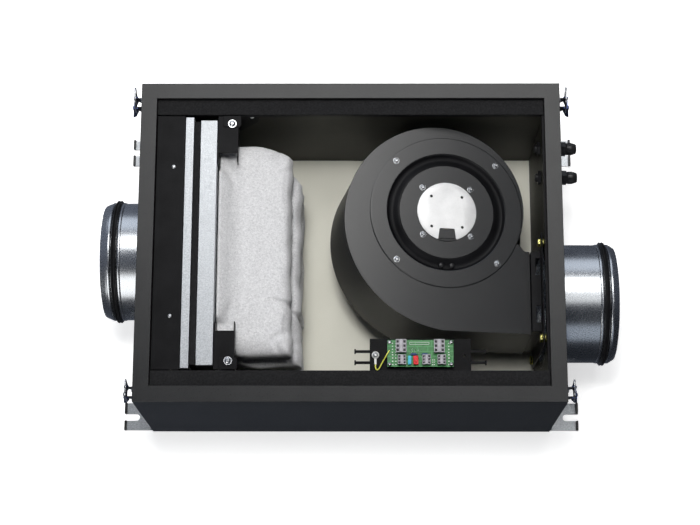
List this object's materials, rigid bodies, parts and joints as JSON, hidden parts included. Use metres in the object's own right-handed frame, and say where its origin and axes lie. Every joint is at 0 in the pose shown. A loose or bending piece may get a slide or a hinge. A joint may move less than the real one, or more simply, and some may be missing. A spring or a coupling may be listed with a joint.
{
  "type": "supply air ventilation unit",
  "caption": "Flat insulated duct unit with its cover off: round spigots, pocket filter, scroll fan, wiring board, cable glands, draw latches and hanging ears.",
  "frame": {"origin": "centre of the casing's back face", "axes": "+X along the air flow from inlet to outlet, +Y across the casing, +Z out of the open front"},
  "size_m": [0.6799, 0.425, 0.244],
  "materials": {
    "graphite_paint": "fine-textured powder coat, satin",
    "dark_paint": "black powder coat, matte",
    "liner_paint": "dark olive lining sheet, satin",
    "floor_paint": "pale beige lining sheet, satin",
    "black_foam": "black closed-cell foam, grainy and matte",
    "grey_foam": "grey insulation foam, matte",
    "galvanised": "galvanised sheet with a fine spangle",
    "fleece": "off-white filter fleece, fibrous",
    "fan_paint": "dark grey powder coat, satin",
    "bright_metal": "bright machined end plate",
    "steel": "bright zinc-plated steel",
    "copper": "copper windings, laminated core",
    "rubber": "black rubber, semi-matte",
    "black_plastic": "black moulded polyamide",
    "fan_plastic": "dark moulded plastic",
    "green_board": "green solder mask",
    "white_plastic": "white insulating sleeve",
    "yellow_plastic": "yellow wire insulation"
  },
  "bodies": {
    "casing": {"outer_shell": "graphite_paint", "front_frame": "graphite_paint", "ledge_frame": "dark_paint", "ledge_foam_high": "black_foam", "ledge_foam_low": "black_foam", "wall_liner": "liner_paint", "floor_liner": "floor_paint", "insulation_tray": "grey_foam", "inlet_spigot": "galvanised", "outlet_spigot": "galvanised", "inlet_seal": "rubber", "outlet_seal": "rubber", "inlet_cover": "dark_paint", "filter_bulkhead": "galvanised", "bulkhead_gasket": "black_foam", "clip_plate_high": "dark_paint", "clip_plate_low": "dark_paint", "fan_scroll": "fan_paint", "fan_lid": "fan_paint", "motor_plate": "fan_paint", "motor_disc": "bright_metal", "motor_stator": "copper", "bearing_lower": "steel", "bearing_upper": "steel", "inlet_ring": "galvanised", "outlet_collar": "dark_paint", "board_bracket": "dark_paint", "circuit_board": "green_board", "earth_lug": "white_plastic", "earth_wire": "yellow_plastic", "gland_body_low": "black_plastic", "gland_body_high": "black_plastic", "gland_nut_low": "black_plastic", "gland_nut_high": "black_plastic", "ear_inlet_low": "galvanised", "latch_base_inlet_low": "steel", "ear_inlet_high": "galvanised", "latch_base_inlet_high": "steel", "ear_outlet_low": "galvanised", "latch_base_outlet_low": "steel", "ear_outlet_high": "galvanised", "latch_base_outlet_high": "steel"},
    "filter_cassette": {"filter_frame": "galvanised", "filter_pocket_1": "fleece", "filter_pocket_2": "fleece", "filter_pocket_3": "fleece", "filter_pocket_4": "fleece", "hold_down_high": "dark_paint", "hold_down_low": "dark_paint"},
    "rotor": {"motor_shaft": "steel", "motor_rotor": "steel", "impeller": "fan_plastic"},
    "lever_inlet_low": {"lever_inlet_low": "steel"},
    "bail_inlet_low": {"bail_inlet_low": "steel"},
    "lever_inlet_high": {"lever_inlet_high": "steel"},
    "bail_inlet_high": {"bail_inlet_high": "steel"},
    "lever_outlet_low": {"lever_outlet_low": "steel"},
    "bail_outlet_low": {"bail_outlet_low": "steel"},
    "lever_outlet_high": {"lever_outlet_high": "steel"},
    "bail_outlet_high": {"bail_outlet_high": "steel"}
  },
  "joints": [
    {"name": "filter_slide", "type": "slide", "parent": "casing", "child": "filter_cassette", "axis": [0, 0, 1], "range_m": [0, 0.235]},
    {"name": "fan_spin", "type": "hinge", "parent": "casing", "child": "rotor", "pos_m": [0.1261, 0.0465, 0.2], "axis": [0.1685, 0, 0.9857], "continuous": true},
    {"name": "lever_turn_inlet_low", "type": "hinge", "parent": "casing", "child": "lever_inlet_low", "pos_m": [-0.286, -0.195, 0.2085], "axis": [0, 1, 0], "range_deg": [0, 150]},
    {"name": "bail_turn_inlet_low", "type": "hinge", "parent": "lever_inlet_low", "child": "bail_inlet_low", "pos_m": [-0.286, -0.195, 0.2025], "axis": [0, 1, 0], "range_deg": [-150, 0]},
    {"name": "lever_turn_inlet_high", "type": "hinge", "parent": "casing", "child": "lever_inlet_high", "pos_m": [-0.286, 0.195, 0.2085], "axis": [0, 1, 0], "range_deg": [0, 150]},
    {"name": "bail_turn_inlet_high", "type": "hinge", "parent": "lever_inlet_high", "child": "bail_inlet_high", "pos_m": [-0.286, 0.195, 0.2025], "axis": [0, 1, 0], "range_deg": [-150, 0]},
    {"name": "lever_turn_outlet_low", "type": "hinge", "parent": "casing", "child": "lever_outlet_low", "pos_m": [0.286, -0.195, 0.2085], "axis": [0, -1, 0], "range_deg": [0, 150]},
    {"name": "bail_turn_outlet_low", "type": "hinge", "parent": "lever_outlet_low", "child": "bail_outlet_low", "pos_m": [0.286, -0.195, 0.2025], "axis": [0, -1, 0], "range_deg": [-150, 0]},
    {"name": "lever_turn_outlet_high", "type": "hinge", "parent": "casing", "child": "lever_outlet_high", "pos_m": [0.286, 0.195, 0.2085], "axis": [0, -1, 0], "range_deg": [0, 150]},
    {"name": "bail_turn_outlet_high", "type": "hinge", "parent": "lever_outlet_high", "child": "bail_outlet_high", "pos_m": [0.286, 0.195, 0.2025], "axis": [0, -1, 0], "range_deg": [-150, 0]}
  ],
  "couplings": [
    {"joint": "bail_turn_inlet_low", "follows": "lever_turn_inlet_low", "ratio": -1},
    {"joint": "bail_turn_inlet_high", "follows": "lever_turn_inlet_high", "ratio": -1},
    {"joint": "bail_turn_outlet_low", "follows": "lever_turn_outlet_low", "ratio": -1},
    {"joint": "bail_turn_outlet_high", "follows": "lever_turn_outlet_high", "ratio": -1}
  ]
}
